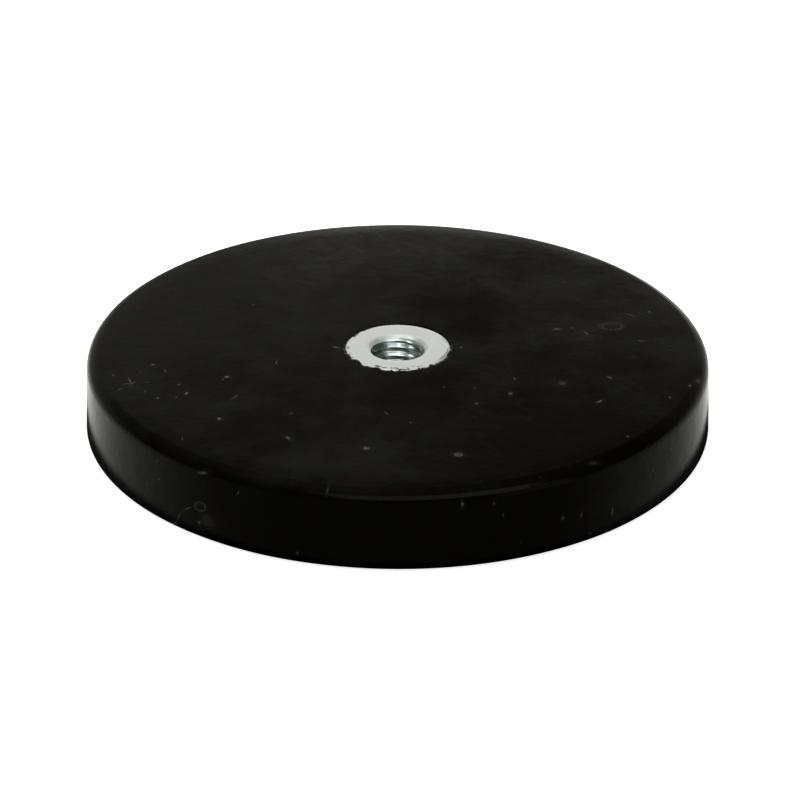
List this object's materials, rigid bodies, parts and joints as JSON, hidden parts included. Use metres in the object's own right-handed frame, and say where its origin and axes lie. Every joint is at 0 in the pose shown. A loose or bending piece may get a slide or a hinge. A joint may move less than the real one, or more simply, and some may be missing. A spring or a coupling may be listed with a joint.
{
  "type": "pot magnet",
  "caption": "Flat round magnet in a black rubber jacket, with a flush threaded bush in its middle, that holds signs, lamps or brackets on a steel surface.",
  "frame": {"origin": "centre of the flat grip face, on the underside", "axes": "+Z along the thread, from the grip face towards the open end of the bush; X and Y lie in the grip face, with +X towards the first magnet of each ring"},
  "size_m": [0.066, 0.066, 0.0085],
  "materials": {
    "rubber": "matt moulded",
    "bush_steel": "turned, bright zinc plated",
    "plate_steel": "blanked, zinc plated",
    "magnet_plating": "nickel plated"
  },
  "bodies": {
    "root": {"backing_plate": "plate_steel", "inner_magnet_01": "magnet_plating", "inner_magnet_02": "magnet_plating", "inner_magnet_03": "magnet_plating", "inner_magnet_04": "magnet_plating", "inner_magnet_05": "magnet_plating", "inner_magnet_06": "magnet_plating", "outer_magnet_01": "magnet_plating", "outer_magnet_02": "magnet_plating", "outer_magnet_03": "magnet_plating", "outer_magnet_04": "magnet_plating", "outer_magnet_05": "magnet_plating", "outer_magnet_06": "magnet_plating", "outer_magnet_07": "magnet_plating", "outer_magnet_08": "magnet_plating", "outer_magnet_09": "magnet_plating", "outer_magnet_10": "magnet_plating", "outer_magnet_11": "magnet_plating", "outer_magnet_12": "magnet_plating", "rubber_jacket": "rubber", "threaded_bush": "bush_steel"}
  },
  "joints": []
}
